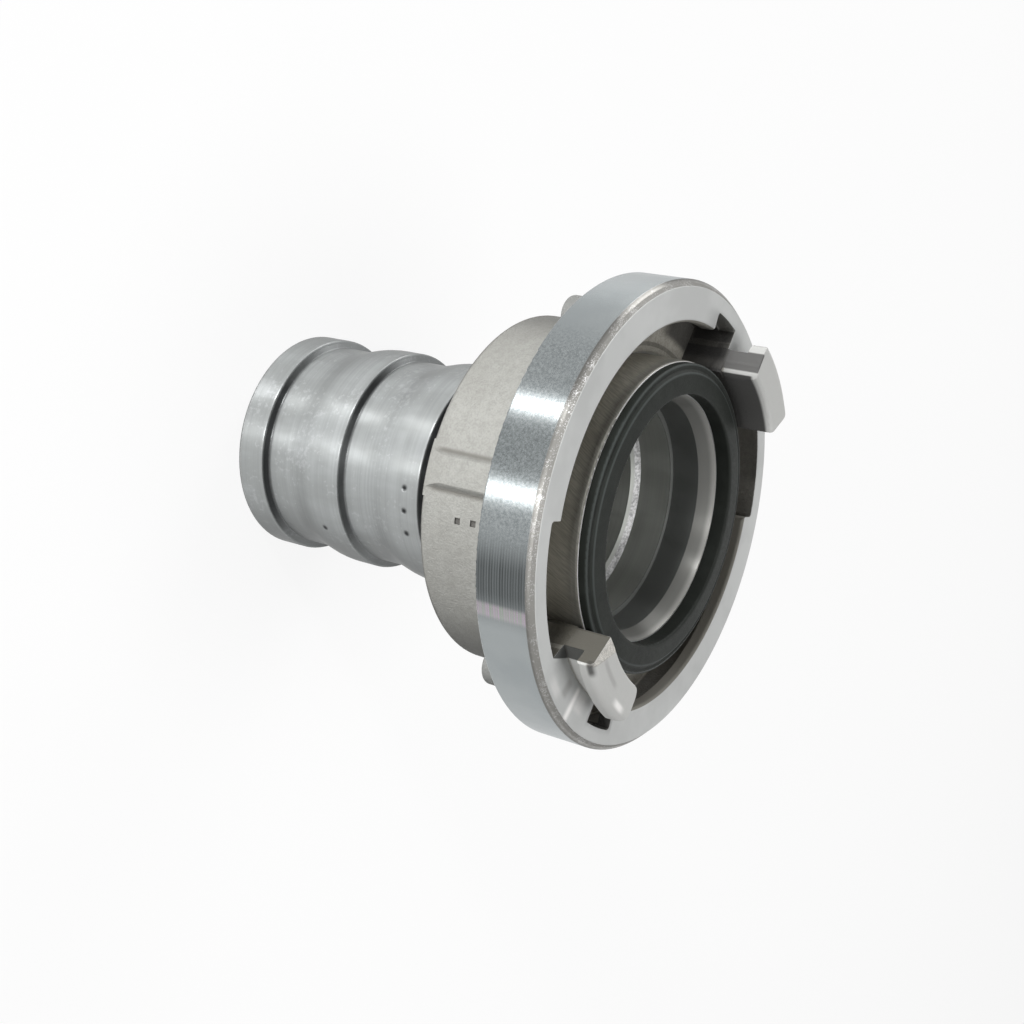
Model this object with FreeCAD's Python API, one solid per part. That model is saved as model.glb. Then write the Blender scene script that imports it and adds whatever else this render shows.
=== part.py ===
import FreeCAD, Part
import math
import os

os.makedirs("parts", exist_ok=True)

# Quarter turn fire hose coupling on a barbed hose tail. Millimetres and degrees.
# +Z runs from the hose end of the tail, at z = 0, to the claws, which lie on the X axis.
# Profiles are drawn in the XZ half plane as radius and height, and turned about Z.

# Claw ring, outside
front_height = 95.0        # front face of the ring above the hose end
ring_length = 34.5
rim_radius = 49.0
rim_width = 12.6
rim_front_chamfer = 1.4
rim_rear_round = 0.5
body_radius = 37.5
body_edge_round = 1.5
rim_root_round = 1.5       # inside corner where the body meets the rim
rear_wall = 5.0

# Claw ring, inside
lip_radius = 40.4          # opening of the front lip
lip_thickness = 2.8
lip_edge_round = 0.3
lip_front_round = 0.8
cavity_radius = 44.0       # turning space behind the lip
cavity_depth = 9.6
bore_chamfer = 0.6

# Claws. Heights are above the front face
claw_before = (14.2, 15.7) # degrees from the X axis to the leading end, for the claws on +X and -X
claw_after = (15.6, 14.2)  # and to the trailing end
claw_inner_radius = 34.6
claw_top_radius = 35.0
claw_neck_radius = 40.0
claw_foot_radius = 44.6
claw_hook_radius = 43.2
claw_height = 8.2
claw_lean_height = 3.0     # where the inner face starts to lean outwards
claw_lean_round = 5.0
claw_top_round = 0.9
hook_height = 4.6          # underside of the hook
hook_round = 1.9
hook_lower_round = 0.5
claw_bury = 0.5            # how far the claw's foot runs into the casting
claw_inner_end_round = 3.2 # upright edges of a claw's trailing end
claw_outer_end_round = 3.0
claw_lead_rounds = (0.5, 2.6)
fettled_angle = -32.7      # a flat ground on the claw on +X at its leading end. The flat's edge runs
fettled_offset = 14.5      # at this angle to the X axis, this far from the ring's axis
fettled_reach = 6.0
fettled_slope = 0.24

# Openings in the front lip: a long entry slot before each claw, a short notch after it
slot_start = -51.1         # degrees from the X axis
notch_ends = (28.8, 26.8)
notch_radius = 44.6
slot_corner_round = 0.8
lip_corner_round = 1.0

# Ribs, spanner nubs and cast pits on the body
half_turns = (0.0, 180.0)
rib_angle = -57.4
rib_width = 6.6
rib_height = 1.0
rib_round = 1.0
rib_lean = 0.6             # half of the width of each sloping side
rib_foot_round = 1.8
rib_end_radius = 37.2      # radius of the rib's end at the rear edge
rib_end_round = 0.8
rib_run_up = 4.0           # how far ahead of the rear edge the rib gains its full height
rib_run_round = 6.0
nub_angles = (-2.9, -111.9)
nub_root = 35.0
nub_reach = 47.3
nub_width = 8.0
nub_depth = 4.7
nub_round = 1.0
pit_places = ((-43.3, 69.9), (-43.6, 73.6))
pit_size = 1.3
pit_depth = 0.4

# Hose tail, outside
end_land_length = 7.1
end_round = 0.8
crest_radius = 24.6
valley_radius = 22.9
barb_count = 2
barb_drop = 0.8
barb_valley = 7.0
barb_rise = 6.5
barb_land = 7.3
land_round = 0.4
rise_top_round = 20.0
rise_foot_round = 10.0
neck_radius = 23.0
neck_length = 5.2
collar_radius = 24.7
collar_chamfer = 0.6

# Head of the tail
head_radius = 32.7
head_setback = 0.35        # top of the head's rim below the front face
head_round = 0.5
flange_length = 5.7
waist_radius = 27.5
waist_length = 7.5
waist_round = 1.5
seal_groove_outer = 31.7
seal_groove_inner = 27.3
seal_groove_depth = 6.2    # below the front face

# Waterway
throat_radius = 21.0
throat_chamfer = 0.8
throat_top = 75.3
mid_bore_radius = 23.2
mid_bore_bottom = 76.6
mid_bore_top = 84.1
mouth_bore_radius = 24.4
mouth_bore_top = 90.3
mouth_radius = 25.8
mouth_setback = 1.2        # mouth edge below the front face

# Seal. Heights are above the front face
seal_play = 0.05
seal_outer_radius = 32.4
seal_inner_radius = 26.1
seal_lip_radius = 27.0
seal_lip_height = 2.2
seal_ridge_radius = 30.4
seal_ridge_height = 1.95
seal_channel_radius = 31.2
seal_channel_height = 1.3
seal_edge_height = 1.65
seal_edge_round = 0.5
seal_top_round = 0.3

# Retaining ring and running clearances
wire_radius = 1.2
wire_centre_radius = 25.0
wire_play = 0.05
wire_gap = 8.0
wire_gap_angle = 122.6
turning_play = 0.08        # radial, head and collar in the ring
end_play = 0.3             # along Z, on each side of the ring's rear wall

rear_face = front_height - ring_length
wall_top = rear_face + rear_wall
rim_rear = front_height - rim_width
cavity_floor = front_height - cavity_depth
lip_rear = front_height - lip_thickness
wire_height = rear_face - end_play - wire_radius
past_rim = rim_radius + 5.0
centre_line = FreeCAD.Vector(0, 0, 1)


def outline(corners):
    """Flat face in the XZ plane. A corner is a radius, a height and, where it is rounded, a rounding."""
    points = [FreeCAD.Vector(corner[0], 0, corner[1]) for corner in corners]
    edges = []
    stretches = []
    for number, point in enumerate(points):
        start = end = point
        if len(corners[number]) == 3:
            rounding = corners[number][2]
            back = (points[number - 1] - point).normalize()
            ahead = (points[(number + 1) % len(points)] - point).normalize()
            half = back.getAngle(ahead) / 2
            across = (back + ahead).normalize()
            start = point + back * (rounding / math.tan(half))
            end = point + ahead * (rounding / math.tan(half))
            middle = point + across * (rounding / math.sin(half) - rounding)
            edges.append(Part.Arc(start, middle, end).toShape())
        stretches.append((start, end))
    for number, (start, end) in enumerate(stretches):
        before = stretches[number - 1][1]
        if before.distanceToPoint(start) > 1e-6:
            edges.append(Part.makeLine(before, start))
    return Part.Face(Part.Wire(Part.sortEdges(edges)[0]))


def box_outline(inner, outer, bottom, top):
    return outline([(inner, bottom), (outer, bottom), (outer, top), (inner, top)])


def turned(face, sweep=360.0):
    return face.revolve(FreeCAD.Vector(0, 0, 0), centre_line, sweep)


def at_angle(shape, angle):
    moved = shape.copy()
    moved.rotate(FreeCAD.Vector(0, 0, 0), centre_line, angle)
    return moved


def upright_edges(shape, least_radius):
    """The straight edges along Z that stand further out than a radius."""
    found = []
    for edge in shape.Edges:
        box = edge.BoundBox
        if box.ZLength > 1 and box.XLength < 0.01 and box.YLength < 0.01:
            if math.hypot(box.Center.x, box.Center.y) > least_radius:
                found.append(edge)
    return found


def cross_prism(corners, inner, outer, angle):
    """Prism that runs outwards from the axis. Its corners are a place across it and a height."""
    points = [FreeCAD.Vector(inner, across, height) for across, height in corners]
    face = Part.Face(Part.makePolygon(points + points[:1]))
    return at_angle(face.extrude(FreeCAD.Vector(outer - inner, 0, 0)), angle)


def lip_opening(start, span, outer):
    """Slot or notch through the front lip, out to a radius."""
    block = turned(box_outline(lip_radius - 2, outer, lip_rear - 1, front_height + 1), span)
    block = block.makeFillet(slot_corner_round, upright_edges(block, outer - 0.1))
    return at_angle(block, start)


def lip_corner(angle, side):
    """What rounds the lip's corner at the end of a slot or notch. Side is 1 or -1, towards the lip."""
    block = turned(box_outline(lip_radius - 1, lip_radius + lip_corner_round, lip_rear - 1, front_height + 1),
                   math.degrees(lip_corner_round / lip_radius))
    if side < 0:
        block = block.mirror(FreeCAD.Vector(0, 0, 0), FreeCAD.Vector(0, 1, 0))
    centre = FreeCAD.Vector(lip_radius + lip_corner_round, side * lip_corner_round, lip_rear - 2)
    block = block.cut(Part.makeCylinder(lip_corner_round, lip_thickness + 4, centre))
    return at_angle(block, angle)


def rib():
    """Low rib along the body, with rounded edges and a filleted foot."""
    half = rib_width / 2
    foot = half + rib_foot_round + rib_lean
    base = math.sqrt(body_radius ** 2 - foot ** 2)
    top = body_radius + rib_height
    section = outline([(-foot, base - 2), (foot, base - 2), (foot, base),
                       (half + rib_lean, base, rib_foot_round), (half - rib_lean, top, rib_round),
                       (rib_lean - half, top, rib_round), (-half - rib_lean, base, rib_foot_round),
                       (-foot, base)])
    section.rotate(FreeCAD.Vector(0, 0, 0), FreeCAD.Vector(1, 1, 1), 120)
    bar = section.extrude(FreeCAD.Vector(0, 0, rim_rear - rear_face + 1))
    bar.translate(FreeCAD.Vector(0, 0, rear_face))
    envelope = turned(outline([(0, rear_face), (rib_end_radius, rear_face, rib_end_round),
                               (top, rear_face + rib_run_up, rib_run_round),
                               (top, rim_rear + 1), (0, rim_rear + 1)]))
    return at_angle(bar.common(envelope), rib_angle)


def nub(angle):
    """Spanner nub against the back of the rim, with a round tip."""
    half = nub_width / 2
    tip = nub_reach - half
    bottom = rim_rear - nub_depth
    height = nub_depth + 1
    block = Part.makeBox(tip - nub_root, nub_width, height, FreeCAD.Vector(nub_root, -half, bottom))
    block = block.fuse(Part.makeCylinder(half, height, FreeCAD.Vector(tip, 0, bottom))).removeSplitter()
    rear_edges = [edge for edge in block.Edges
                  if edge.BoundBox.ZMax < bottom + 0.01 and edge.BoundBox.XMax > nub_root + 1]
    return at_angle(block.makeFillet(nub_round, rear_edges), angle)


def pit(angle, height):
    """Small square hole in the cast skin."""
    half = pit_size / 2
    corners = [(-half, height - half), (half, height - half), (half, height + half), (-half, height + half)]
    return cross_prism(corners, body_radius - pit_depth, body_radius + 1, angle)


def claw_plan(before, after, lead_round):
    """Outline of a claw above the front face, seen from the front, as a prism with rounded corners."""
    top = front_height + claw_height
    span = before + after
    plan = turned(box_outline(claw_inner_radius, claw_hook_radius, front_height, top), span)
    for edge in upright_edges(plan, 1):
        trailing = edge.BoundBox.YMin > 1
        outer = math.hypot(edge.BoundBox.XMin, edge.BoundBox.YMin) > claw_neck_radius
        if trailing:
            rounding = claw_outer_end_round if outer else claw_inner_end_round
        else:
            rounding = lead_round if outer else claw_lead_rounds[0]
        plan = plan.makeFillet(rounding, [same_edge(plan, edge)])
    return at_angle(plan, -before)


def same_edge(shape, edge):
    """The upright edge of a shape that stands where the given one does."""
    for other in upright_edges(shape, 1):
        if other.BoundBox.Center.distanceToPoint(edge.BoundBox.Center) < 0.01:
            return other
    raise ValueError("no such edge")


def claw(before, after, lead_round, fettled):
    """One claw on +X. Its leading end is the one at the negative angle."""
    foot = cavity_floor - claw_bury
    top = front_height + claw_height
    under = front_height + hook_height
    span = before + after
    neck = turned(outline([(claw_inner_radius, foot),
                           (claw_inner_radius, front_height + claw_lean_height, claw_lean_round),
                           (claw_top_radius, top, claw_top_round),
                           (claw_neck_radius, top),
                           (claw_neck_radius, front_height),
                           (claw_foot_radius, front_height),
                           (claw_foot_radius, foot)]), span)
    hook = turned(outline([(claw_neck_radius - 1, under),
                           (claw_hook_radius, under, hook_lower_round),
                           (claw_hook_radius, top, hook_round),
                           (claw_neck_radius - 1, top)]), span)
    whole = at_angle(neck.fuse(hook), -before)
    if fettled:
        start = fettled_offset - fettled_reach
        whole = whole.cut(cross_prism([(start, top - fettled_reach * fettled_slope), (fettled_offset, top),
                                       (fettled_offset, top + 1), (start, top + 1)],
                                      claw_inner_radius - fettled_reach, past_rim, fettled_angle))
    sunk = whole.common(Part.makeCylinder(past_rim, front_height))
    return sunk.fuse(whole.common(claw_plan(before, after, lead_round))).removeSplitter()


def ring_outside():
    """Body and rim, without any bore."""
    return turned(outline([(0, rear_face),
                           (body_radius, rear_face, body_edge_round),
                           (body_radius, rim_rear, rim_root_round),
                           (rim_radius, rim_rear, rim_rear_round),
                           (rim_radius, front_height - rim_front_chamfer),
                           (rim_radius - rim_front_chamfer, front_height),
                           (0, front_height)]))


def ring_inside():
    """All that is bored out of the ring, from the rear wall to the front lip."""
    rear_bore = collar_radius + turning_play
    head_bore = head_radius + turning_play
    return turned(outline([(0, rear_face - 1),
                           (rear_bore, rear_face - 1),
                           (rear_bore, wall_top),
                           (head_bore, wall_top),
                           (head_bore, cavity_floor - bore_chamfer),
                           (head_bore + bore_chamfer, cavity_floor),
                           (cavity_radius, cavity_floor),
                           (cavity_radius, lip_rear),
                           (lip_radius, lip_rear, lip_edge_round),
                           (lip_radius, front_height, lip_front_round),
                           (past_rim, front_height),
                           (past_rim, front_height + 1),
                           (0, front_height + 1)]))


def claw_ring():
    """The turning casting, with rim, lip, body, claws, ribs and nubs."""
    solid = ring_outside()
    for half_turn in half_turns:
        solid = solid.fuse(at_angle(rib(), half_turn))
        for angle in nub_angles:
            solid = solid.fuse(at_angle(nub(angle), half_turn))
    solid = solid.cut(ring_inside())
    for angle, height in pit_places:
        solid = solid.cut(pit(angle, height))
    overlap = 2.0
    for half_turn, before, after, notch_end in zip(half_turns, claw_before, claw_after, notch_ends):
        solid = solid.cut(lip_opening(half_turn + slot_start, overlap - before - slot_start, cavity_radius))
        solid = solid.cut(lip_opening(half_turn + after - overlap, notch_end - after + overlap, notch_radius))
        solid = solid.cut(lip_corner(half_turn + slot_start, -1))
        solid = solid.cut(lip_corner(half_turn + notch_end, 1))
    for half_turn, before, after, lead_round in zip(half_turns, claw_before, claw_after, claw_lead_rounds):
        solid = solid.fuse(at_angle(claw(before, after, lead_round, half_turn == 0), half_turn))
    return solid.removeSplitter()


def barb_corners():
    """Corners up the outside of the tail, from the end land to the top of the neck."""
    corners = [(crest_radius, 0, end_round)]
    height = end_land_length
    for number in range(barb_count):
        foot = height + barb_drop
        rise = foot + barb_valley
        land = rise + barb_rise
        corners += [(crest_radius, height, land_round),
                    (valley_radius, foot, land_round),
                    (valley_radius, rise, rise_foot_round),
                    (crest_radius, land, rise_top_round)]
        height = land + barb_land
    corners += [(crest_radius, height, land_round),
                (neck_radius, height + barb_drop, land_round),
                (neck_radius, height + barb_drop + neck_length)]
    return corners


def hose_tail():
    """Barbed tail, collar and head, turned from one casting."""
    flange_bottom = wall_top + end_play
    flange_top = flange_bottom + flange_length
    waist_top = flange_top + waist_length
    head_top = front_height - head_setback
    groove_floor = front_height - seal_groove_depth
    mouth_top = front_height - mouth_setback
    corners = [(throat_radius + throat_chamfer, 0)]
    corners += barb_corners()
    neck_end = corners[-1][1]
    corners += [(collar_radius - collar_chamfer, neck_end),
                (collar_radius, neck_end + collar_chamfer),
                (collar_radius, flange_bottom),
                (head_radius, flange_bottom, head_round),
                (head_radius, flange_top, head_round),
                (waist_radius, flange_top, waist_round),
                (waist_radius, waist_top, waist_round),
                (head_radius, waist_top, head_round),
                (head_radius, head_top, head_round),
                (seal_groove_outer, head_top),
                (seal_groove_outer, groove_floor),
                (seal_groove_inner, groove_floor),
                (seal_groove_inner, mouth_top),
                (mouth_radius, mouth_top),
                (mouth_bore_radius, mouth_bore_top),
                (mouth_bore_radius, mid_bore_top),
                (mid_bore_radius, mid_bore_top),
                (mid_bore_radius, mid_bore_bottom),
                (throat_radius, throat_top),
                (throat_radius, throat_chamfer)]
    groove = Part.makeTorus(wire_centre_radius, wire_radius + wire_play, FreeCAD.Vector(0, 0, wire_height))
    return turned(outline(corners)).cut(groove)


def seal_ring():
    """Rubber ring in the head's groove, with its lip proud of the front face."""
    outer = seal_groove_outer - seal_play
    inner = seal_groove_inner + seal_play
    floor = front_height - seal_groove_depth + seal_play
    shoulder = front_height - head_setback + seal_play
    mouth = front_height - mouth_setback + seal_play
    return turned(outline([(inner, floor),
                           (outer, floor),
                           (outer, shoulder),
                           (seal_outer_radius, shoulder),
                           (seal_outer_radius, front_height + seal_edge_height, seal_edge_round),
                           (seal_channel_radius, front_height + seal_channel_height, seal_top_round),
                           (seal_ridge_radius, front_height + seal_ridge_height, seal_top_round),
                           (seal_lip_radius, front_height + seal_lip_height, seal_top_round),
                           (seal_inner_radius, front_height + seal_lip_height, seal_edge_round),
                           (seal_inner_radius, mouth),
                           (inner, mouth)]))


def retaining_ring():
    """Split ring of round wire in the collar's groove."""
    circle = Part.makeCircle(wire_radius, FreeCAD.Vector(wire_centre_radius, 0, wire_height),
                             FreeCAD.Vector(0, 1, 0))
    wire = turned(Part.Face(Part.Wire(circle)), 360.0 - wire_gap)
    return at_angle(wire, wire_gap_angle + wire_gap / 2)


makers = {
    "hose_tail": hose_tail,
    "seal_ring": seal_ring,
    "claw_ring": claw_ring,
    "retaining_ring": retaining_ring,
}

for node, make in makers.items():
    shape = make()
    box = shape.BoundBox
    print(node, "solids", len(shape.Solids), "valid", shape.isValid(), "volume %.0f" % shape.Volume,
          "z %.2f to %.2f" % (box.ZMin, box.ZMax))
    shape.exportStep("parts/" + node + ".step")
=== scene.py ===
"""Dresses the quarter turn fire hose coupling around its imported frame.

Lengths are in metres. +Z is the coupling's axis, from the hose end to the claws, which lie on the X axis.
"""

import logging
import math
from dataclasses import dataclass
from enum import Enum
from typing import Sequence, Union

import bpy
from mathutils import Matrix, Vector

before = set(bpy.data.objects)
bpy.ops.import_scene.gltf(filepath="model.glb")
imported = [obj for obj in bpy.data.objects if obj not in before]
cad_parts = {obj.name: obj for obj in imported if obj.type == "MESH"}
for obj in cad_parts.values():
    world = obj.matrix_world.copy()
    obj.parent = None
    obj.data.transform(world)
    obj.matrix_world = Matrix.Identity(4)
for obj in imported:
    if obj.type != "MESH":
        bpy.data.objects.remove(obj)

LOG = logging.getLogger("coupling")

Color = tuple[float, float, float, float]
Value = Union[float, Sequence[float], bpy.types.NodeSocket]


class Node(Enum):
    """The coupling's pieces, by their names in the frame."""

    HOSE_TAIL = "hose_tail"
    SEAL_RING = "seal_ring"
    CLAW_RING = "claw_ring"
    RETAINING_RING = "retaining_ring"


class Effect(Enum):
    """The shader node groups that several finishes share."""

    ROUND_PLACE = "round_place"
    TURNING_MARKS = "turning_marks"
    CAST_GRAIN = "cast_grain"
    BLOTCHES = "blotches"
    SCUFFS = "scuffs"


def grey(level: float, warmth: float = 0.0, green: float = 0.0) -> Color:
    """Returns a near grey colour.

    Args:
        level: Its linear brightness.
        warmth: How far red is raised and blue lowered, as a share of the level.
        green: How far green is raised, as a share of the level.
    """
    return (level * (1 + warmth), level * (1 + green), level * (1 - warmth), 1.0)


class Wiring:
    """Adds nodes to one tree and joins them."""

    def __init__(self, tree: bpy.types.NodeTree) -> None:
        """Keeps the tree that nodes are added to."""
        self.tree = tree

    def node(self, kind: str, **settings: object) -> bpy.types.Node:
        """Adds a node.

        Args:
            kind: The node's type name.
            **settings: Properties to set on it.

        Returns:
            The new node.
        """
        made = self.tree.nodes.new(kind)
        for name, setting in settings.items():
            setattr(made, name, setting)
        return made

    def feed(self, socket: bpy.types.NodeSocket, value: Value) -> None:
        """Joins a socket to another, or sets its value.

        Args:
            socket: The input.
            value: An output socket, or a plain value.
        """
        if isinstance(value, bpy.types.NodeSocket):
            self.tree.links.new(value, socket)
        else:
            socket.default_value = value

    def math(self, operation: str, *values: Value, clamp: bool = False) -> bpy.types.NodeSocket:
        """Adds a Math node.

        Args:
            operation: Its operation.
            *values: Its inputs in order.
            clamp: Whether the result is held between 0 and 1.

        Returns:
            The result.
        """
        made = self.node("ShaderNodeMath", operation=operation, use_clamp=clamp)
        for socket, value in zip(made.inputs, values):
            self.feed(socket, value)
        return made.outputs[0]

    def span(self, value: Value, low: float, high: float,
             low_out: float = 0.0, high_out: float = 1.0) -> bpy.types.NodeSocket:
        """Maps a value smoothly from one span to another, held at its ends.

        Args:
            value: The value to map.
            low: Where the result is low_out.
            high: Where the result is high_out.
            low_out: The result at low.
            high_out: The result at high.

        Returns:
            The mapped value.
        """
        made = self.node("ShaderNodeMapRange", interpolation_type="SMOOTHSTEP")
        for socket, item in zip(made.inputs, (value, low, high, low_out, high_out)):
            self.feed(socket, item)
        return made.outputs[0]

    def band(self, value: Value, low: float, high: float, soft: float) -> bpy.types.NodeSocket:
        """Masks a value's band.

        Args:
            value: The value.
            low: The band's lower edge.
            high: The band's upper edge.
            soft: The width over which each edge fades.

        Returns:
            A mask that is 1 inside the band.
        """
        rise = self.span(value, low - soft, low + soft)
        fall = self.span(value, high - soft, high + soft)
        return self.math("SUBTRACT", rise, fall, clamp=True)

    def blend(self, factor: Value, first: Value, second: Value) -> bpy.types.NodeSocket:
        """Mixes two colours.

        Args:
            factor: The second colour's share.
            first: The colour at factor 0.
            second: The colour at factor 1.

        Returns:
            The mixed colour.
        """
        made = self.node("ShaderNodeMix", data_type="RGBA")
        self.feed(made.inputs["Factor"], factor)
        self.feed(made.inputs["A"] if made.inputs["A"].type == "RGBA" else made.inputs[6], first)
        self.feed(made.inputs["B"] if made.inputs["B"].type == "RGBA" else made.inputs[7], second)
        return made.outputs[2]

    def noise(self, vector: Value, scale: float, detail: float = 2.0,
              roughness: float = 0.5) -> bpy.types.NodeSocket:
        """Adds a noise texture.

        Args:
            vector: Where it is read.
            scale: How many features there are to a unit.
            detail: Its octaves.
            roughness: How much the fine octaves count.

        Returns:
            The noise, from 0 to 1.
        """
        made = self.node("ShaderNodeTexNoise")
        self.feed(made.inputs["Vector"], vector)
        self.feed(made.inputs["Scale"], scale)
        self.feed(made.inputs["Detail"], detail)
        self.feed(made.inputs["Roughness"], roughness)
        return made.outputs["Fac"]

    def vector(self, x: Value, y: Value, z: Value) -> bpy.types.NodeSocket:
        """Joins three values to a vector."""
        made = self.node("ShaderNodeCombineXYZ")
        for socket, value in zip(made.inputs, (x, y, z)):
            self.feed(socket, value)
        return made.outputs[0]

    def group(self, effect: Effect, **values: Value) -> bpy.types.Node:
        """Places a shared effect.

        Args:
            effect: Which effect.
            **values: Its inputs by name, with spaces written as underscores.

        Returns:
            The group's node.
        """
        made = self.node("ShaderNodeGroup", node_tree=bpy.data.node_groups[effect.value])
        for name, value in values.items():
            self.feed(made.inputs[name.replace("_", " ")], value)
        return made

    def bump(self, height: Value, depth: float, normal: Value = None) -> bpy.types.NodeSocket:
        """Adds a bump.

        Args:
            height: The height, from 0 to 1.
            depth: The depth of a height of 1.
            normal: The normal to bend, or None for the surface's own.

        Returns:
            The bent normal.
        """
        made = self.node("ShaderNodeBump")
        made.inputs["Strength"].default_value = 1.0
        made.inputs["Distance"].default_value = depth
        self.feed(made.inputs["Height"], height)
        if normal is not None:
            self.feed(made.inputs["Normal"], normal)
        return made.outputs["Normal"]


class EffectMaker:
    """Builds the shared node groups."""

    def make_all(self) -> None:
        """Builds every group once."""
        self.round_place()
        self.turning_marks()
        self.cast_grain()
        self.blotches()
        self.scuffs()

    @staticmethod
    def start(effect: Effect, inputs: dict[str, str], outputs: dict[str, str]) -> tuple:
        """Starts a group with its sockets.

        Args:
            effect: The group's effect.
            inputs: Socket types by input name.
            outputs: Socket types by output name.

        Returns:
            The group's wiring, its input node and its output node.
        """
        tree = bpy.data.node_groups.new(effect.value, "ShaderNodeTree")
        for name, kind in inputs.items():
            tree.interface.new_socket(name=name, in_out="INPUT", socket_type=kind)
        for name, kind in outputs.items():
            tree.interface.new_socket(name=name, in_out="OUTPUT", socket_type=kind)
        wiring = Wiring(tree)
        return wiring, wiring.node("NodeGroupInput"), wiring.node("NodeGroupOutput")

    def round_place(self) -> None:
        """Gives a point's radius, angle and height about the coupling's axis."""
        wiring, taken, given = self.start(
            Effect.ROUND_PLACE, {"Place": "NodeSocketVector"},
            {"Radius": "NodeSocketFloat", "Angle": "NodeSocketFloat", "Height": "NodeSocketFloat"})
        parts = wiring.node("ShaderNodeSeparateXYZ")
        wiring.feed(parts.inputs[0], taken.outputs["Place"])
        x, y, z = parts.outputs
        squares = wiring.math("ADD", wiring.math("MULTIPLY", x, x), wiring.math("MULTIPLY", y, y))
        wiring.feed(given.inputs["Radius"], wiring.math("SQRT", squares))
        wiring.feed(given.inputs["Angle"], wiring.math("ARCTAN2", y, x))
        wiring.feed(given.inputs["Height"], z)

    def turning_marks(self) -> None:
        """Fine lines that a turning tool leaves, across a distance and along an angle."""
        wiring, taken, given = self.start(
            Effect.TURNING_MARKS,
            {"Across": "NodeSocketFloat", "Angle": "NodeSocketFloat", "Pitch": "NodeSocketFloat"},
            {"Height": "NodeSocketFloat", "Tone": "NodeSocketFloat"})
        lines = wiring.math("DIVIDE", taken.outputs["Across"], taken.outputs["Pitch"])
        place = wiring.vector(lines, wiring.math("MULTIPLY", taken.outputs["Angle"], 0.35), 0.0)
        fine = wiring.noise(place, 1.0, 2.0, 0.6)
        coarse = wiring.noise(place, 0.21, 2.0, 0.5)
        both = wiring.math("ADD", wiring.math("MULTIPLY", fine, 0.6), wiring.math("MULTIPLY", coarse, 0.4))
        wiring.feed(given.inputs["Height"], both)
        wiring.feed(given.inputs["Tone"], wiring.span(both, 0.35, 0.65))

    def cast_grain(self) -> None:
        """The sandy skin of a casting."""
        wiring, taken, given = self.start(
            Effect.CAST_GRAIN, {"Place": "NodeSocketVector", "Scale": "NodeSocketFloat"},
            {"Height": "NodeSocketFloat", "Tone": "NodeSocketFloat"})
        spread = wiring.node("ShaderNodeVectorMath", operation="SCALE")
        wiring.feed(spread.inputs[0], taken.outputs["Place"])
        wiring.feed(spread.inputs["Scale"], taken.outputs["Scale"])
        grain = wiring.noise(spread.outputs[0], 1.0, 3.0, 0.6)
        lumps = wiring.noise(spread.outputs[0], 0.28, 2.0, 0.5)
        both = wiring.math("ADD", wiring.math("MULTIPLY", grain, 0.65), wiring.math("MULTIPLY", lumps, 0.35))
        wiring.feed(given.inputs["Height"], both)
        wiring.feed(given.inputs["Tone"], wiring.span(both, 0.36, 0.64))

    def blotches(self) -> None:
        """Broad soft patches, such as stain or uneven sheen."""
        wiring, taken, given = self.start(
            Effect.BLOTCHES, {"Place": "NodeSocketVector", "Scale": "NodeSocketFloat"},
            {"Mask": "NodeSocketFloat"})
        spread = wiring.node("ShaderNodeVectorMath", operation="SCALE")
        wiring.feed(spread.inputs[0], taken.outputs["Place"])
        wiring.feed(spread.inputs["Scale"], taken.outputs["Scale"])
        patches = wiring.noise(spread.outputs[0], 1.0, 3.0, 0.55)
        wiring.feed(given.inputs["Mask"], wiring.span(patches, 0.38, 0.62))

    def scuffs(self) -> None:
        """Small bright rubs and nicks, thinly spread."""
        wiring, taken, given = self.start(
            Effect.SCUFFS,
            {"Place": "NodeSocketVector", "Scale": "NodeSocketFloat", "Amount": "NodeSocketFloat"},
            {"Mask": "NodeSocketFloat"})
        spread = wiring.node("ShaderNodeVectorMath", operation="SCALE")
        wiring.feed(spread.inputs[0], taken.outputs["Place"])
        wiring.feed(spread.inputs["Scale"], taken.outputs["Scale"])
        specks = wiring.noise(spread.outputs[0], 1.0, 4.0, 0.7)
        patches = wiring.noise(spread.outputs[0], 0.12, 2.0, 0.5)
        both = wiring.math("ADD", specks, wiring.math("MULTIPLY", patches, 0.5))
        edge = wiring.math("SUBTRACT", 1.05, wiring.math("MULTIPLY", taken.outputs["Amount"], 0.3))
        above = wiring.math("MULTIPLY", wiring.math("SUBTRACT", both, edge), 14.0, clamp=True)
        wiring.feed(given.inputs["Mask"], above)


@dataclass(frozen=True)
class Finish:
    """A finish, as a material on Object coordinates.

    Attributes:
        name: The material's name.
    """

    name: str

    def start(self) -> tuple[bpy.types.Material, Wiring, bpy.types.Node]:
        """Starts the material.

        Returns:
            The material, its wiring and its shader.
        """
        material = bpy.data.materials.new(self.name)
        material.use_nodes = True
        tree = material.node_tree
        tree.nodes.clear()
        wiring = Wiring(tree)
        shader = wiring.node("ShaderNodeBsdfPrincipled")
        output = wiring.node("ShaderNodeOutputMaterial")
        wiring.feed(output.inputs["Surface"], shader.outputs[0])
        return material, wiring, shader

    @staticmethod
    def place(wiring: Wiring) -> tuple:
        """Reads the place of the point that is shaded.

        Args:
            wiring: The material's wiring.

        Returns:
            The place as a vector, then its radius, angle and height about the axis.
        """
        place = wiring.node("ShaderNodeTexCoord").outputs["Object"]
        turned = wiring.group(Effect.ROUND_PLACE, Place=place)
        return (place, *turned.outputs)

    @staticmethod
    def turned_away(wiring: Wiring) -> Value:
        """Masks what a surface shows at a low angle to the view, where painted shade darkens it.

        Args:
            wiring: The material's wiring.

        Returns:
            A mask that grows as the surface turns away.
        """
        facing = wiring.node("ShaderNodeLayerWeight")
        facing.inputs["Blend"].default_value = 0.5
        return wiring.span(facing.outputs["Facing"], 0.38, 0.85, 0.0, 0.6)


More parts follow.
